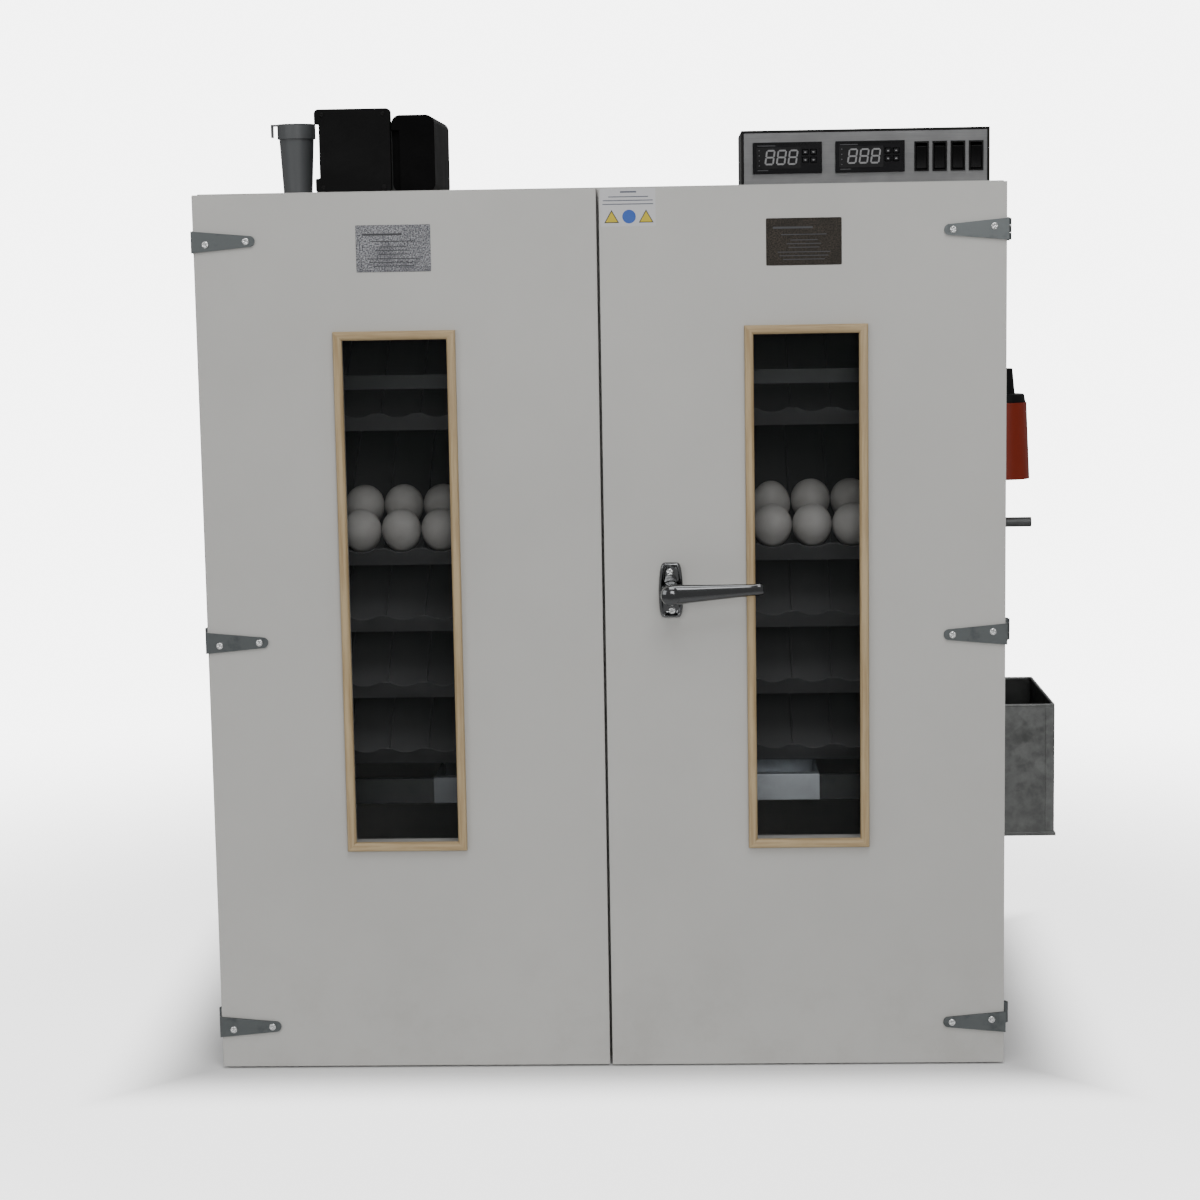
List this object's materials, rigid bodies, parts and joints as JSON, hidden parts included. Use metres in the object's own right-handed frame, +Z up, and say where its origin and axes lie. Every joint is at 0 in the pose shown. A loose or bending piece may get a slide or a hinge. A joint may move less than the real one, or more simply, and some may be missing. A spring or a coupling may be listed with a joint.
{
  "type": "egg incubator",
  "caption": "Two-door cabinet egg incubator with framed windows, tilting egg trays on side shafts, a side drive and tank, and a control box on the roof.",
  "frame": {"origin": "centre of the underside of the floor panel", "axes": "+X to the right facing the doors, +Y into the cabinet, +Z up"},
  "size_m": [1.0015, 0.6075, 1.095],
  "materials": {
    "door_laminate": "fine satin",
    "carcass_laminate": "fine satin",
    "moulding_pine": "clear varnish",
    "pane_glass": "polished",
    "zinc_steel": "zinc plated",
    "dark_steel": "dark",
    "galvanised": "spangled",
    "chrome": "polished",
    "seal_rubber": "matte",
    "tray_plastic": "moulded",
    "black_plastic": "fine texture",
    "orange_plastic": "satin",
    "grey_plastic": "moulded",
    "panel_silver": "satin",
    "eggshell": "eggshell"
  },
  "bodies": {
    "cabinet": {"left_side_panel": "carcass_laminate", "right_side_panel": "carcass_laminate", "top_panel": "carcass_laminate", "bottom_panel": "carcass_laminate", "back_panel": "carcass_laminate", "centre_post": "carcass_laminate", "latch_keeper": "zinc_steel", "cabinet_hinges": "zinc_steel", "door_gasket": "seal_rubber", "rack_frame": "dark_steel", "heater": "dark_steel", "temperature_sensor": "dark_steel", "water_pan": "galvanised", "water_tank": "galvanised", "actuator_body": "orange_plastic", "actuator_end_cap": "black_plastic", "junction_box": "black_plastic", "junction_lid": "black_plastic", "transformer_housing": "black_plastic", "control_case": "black_plastic", "controllers": "black_plastic", "fan_motor": "black_plastic", "filler_cup": "grey_plastic", "control_panel": "panel_silver"},
    "left_door": {"left_door_panel": "door_laminate", "left_window_frame": "moulding_pine", "left_window_glass": "pane_glass", "left_hinge_straps": "zinc_steel"},
    "right_door": {"right_door_panel": "door_laminate", "right_window_frame": "moulding_pine", "right_window_glass": "pane_glass", "right_hinge_straps": "zinc_steel", "handle_backplate": "chrome"},
    "latch": {"latch_lever": "chrome"},
    "link": {"link_bar": "dark_steel"},
    "fan": {"fan_wheel": "black_plastic"},
    "level_1": {"cradle_1": "dark_steel", "trays_1": "tray_plastic"},
    "level_2": {"cradle_2": "dark_steel"},
    "level_3": {"cradle_3": "dark_steel", "trays_3": "tray_plastic", "eggs": "eggshell"},
    "level_4": {"cradle_4": "dark_steel", "trays_4": "tray_plastic"},
    "level_5": {"cradle_5": "dark_steel", "trays_5": "tray_plastic"},
    "level_6": {"cradle_6": "dark_steel", "trays_6": "tray_plastic"},
    "rocker_body_1": {"rocker_1": "black_plastic"},
    "rocker_body_2": {"rocker_2": "black_plastic"},
    "rocker_body_3": {"rocker_3": "black_plastic"},
    "rocker_body_4": {"rocker_4": "black_plastic"},
    "key_left_lower_inner_cap": {"key_left_lower_inner": "black_plastic"},
    "key_left_lower_outer_cap": {"key_left_lower_outer": "black_plastic"},
    "key_left_upper_inner_cap": {"key_left_upper_inner": "black_plastic"},
    "key_left_upper_outer_cap": {"key_left_upper_outer": "black_plastic"},
    "key_right_lower_inner_cap": {"key_right_lower_inner": "black_plastic"},
    "key_right_lower_outer_cap": {"key_right_lower_outer": "black_plastic"},
    "key_right_upper_inner_cap": {"key_right_upper_inner": "black_plastic"},
    "key_right_upper_outer_cap": {"key_right_upper_outer": "black_plastic"}
  },
  "joints": [
    {"name": "left_door_hinge", "type": "hinge", "parent": "cabinet", "child": "left_door", "pos_m": [-0.4545, -0.2425, 0.5], "axis": [0, 0, -1], "range_deg": [0, 170]},
    {"name": "right_door_hinge", "type": "hinge", "parent": "cabinet", "child": "right_door", "pos_m": [0.4545, -0.2425, 0.5], "axis": [0, 0, 1], "range_deg": [0, 170]},
    {"name": "latch_turn", "type": "hinge", "parent": "right_door", "child": "latch", "pos_m": [0.0755, -0.28, 0.5505], "axis": [0, 1, 0], "range_deg": [0, 90]},
    {"name": "tilt_level_3", "type": "hinge", "parent": "cabinet", "child": "level_3", "pos_m": [0, 0.008, 0.672], "axis": [-1, 0, 0], "range_deg": [0, 70]},
    {"name": "tilt_level_1", "type": "hinge", "parent": "cabinet", "child": "level_1", "pos_m": [0, 0.008, 0.83], "axis": [-1, 0, 0], "range_deg": [0, 70]},
    {"name": "tilt_level_2", "type": "hinge", "parent": "cabinet", "child": "level_2", "pos_m": [0, 0.008, 0.751], "axis": [-1, 0, 0], "range_deg": [0, 70]},
    {"name": "tilt_level_4", "type": "hinge", "parent": "cabinet", "child": "level_4", "pos_m": [0, 0.008, 0.593], "axis": [-1, 0, 0], "range_deg": [0, 70]},
    {"name": "tilt_level_5", "type": "hinge", "parent": "cabinet", "child": "level_5", "pos_m": [0, 0.008, 0.514], "axis": [-1, 0, 0], "range_deg": [0, 70]},
    {"name": "tilt_level_6", "type": "hinge", "parent": "cabinet", "child": "level_6", "pos_m": [0, 0.008, 0.435], "axis": [-1, 0, 0], "range_deg": [0, 70]},
    {"name": "link_swing", "type": "hinge", "parent": "level_3", "child": "link", "pos_m": [0.416, 0.05715, 0.70642], "axis": [-1, 0, 0], "range_deg": [-70, 0]},
    {"name": "fan_spin", "type": "hinge", "parent": "cabinet", "child": "fan", "pos_m": [0, 0.215, 0.63], "axis": [0, 1, 0], "continuous": true},
    {"name": "rocker_1_tip", "type": "hinge", "parent": "cabinet", "child": "rocker_body_1", "pos_m": [0.361, -0.214, 1.0285], "axis": [-1, 0, 0], "range_deg": [0, 18]},
    {"name": "rocker_2_tip", "type": "hinge", "parent": "cabinet", "child": "rocker_body_2", "pos_m": [0.3812, -0.214, 1.0285], "axis": [-1, 0, 0], "range_deg": [0, 18]},
    {"name": "rocker_3_tip", "type": "hinge", "parent": "cabinet", "child": "rocker_body_3", "pos_m": [0.4014, -0.214, 1.0285], "axis": [-1, 0, 0], "range_deg": [0, 18]},
    {"name": "rocker_4_tip", "type": "hinge", "parent": "cabinet", "child": "rocker_body_4", "pos_m": [0.4216, -0.214, 1.0285], "axis": [-1, 0, 0], "range_deg": [0, 18]},
    {"name": "key_left_lower_inner_press", "type": "slide", "parent": "cabinet", "child": "key_left_lower_inner_cap", "axis": [0, 1, 0], "range_m": [0, 0.0008], "stiffness_N_per_m": 400},
    {"name": "key_left_lower_outer_press", "type": "slide", "parent": "cabinet", "child": "key_left_lower_outer_cap", "axis": [0, 1, 0], "range_m": [0, 0.0008], "stiffness_N_per_m": 400},
    {"name": "key_left_upper_inner_press", "type": "slide", "parent": "cabinet", "child": "key_left_upper_inner_cap", "axis": [0, 1, 0], "range_m": [0, 0.0008], "stiffness_N_per_m": 400},
    {"name": "key_left_upper_outer_press", "type": "slide", "parent": "cabinet", "child": "key_left_upper_outer_cap", "axis": [0, 1, 0], "range_m": [0, 0.0008], "stiffness_N_per_m": 400},
    {"name": "key_right_lower_inner_press", "type": "slide", "parent": "cabinet", "child": "key_right_lower_inner_cap", "axis": [0, 1, 0], "range_m": [0, 0.0008], "stiffness_N_per_m": 400},
    {"name": "key_right_lower_outer_press", "type": "slide", "parent": "cabinet", "child": "key_right_lower_outer_cap", "axis": [0, 1, 0], "range_m": [0, 0.0008], "stiffness_N_per_m": 400},
    {"name": "key_right_upper_inner_press", "type": "slide", "parent": "cabinet", "child": "key_right_upper_inner_cap", "axis": [0, 1, 0], "range_m": [0, 0.0008], "stiffness_N_per_m": 400},
    {"name": "key_right_upper_outer_press", "type": "slide", "parent": "cabinet", "child": "key_right_upper_outer_cap", "axis": [0, 1, 0], "range_m": [0, 0.0008], "stiffness_N_per_m": 400}
  ],
  "couplings": [
    {"joint": "tilt_level_1", "follows": "tilt_level_3", "ratio": 1},
    {"joint": "tilt_level_2", "follows": "tilt_level_3", "ratio": 1},
    {"joint": "tilt_level_4", "follows": "tilt_level_3", "ratio": 1},
    {"joint": "tilt_level_5", "follows": "tilt_level_3", "ratio": 1},
    {"joint": "tilt_level_6", "follows": "tilt_level_3", "ratio": 1},
    {"joint": "link_swing", "follows": "tilt_level_3", "ratio": -1}
  ]
}
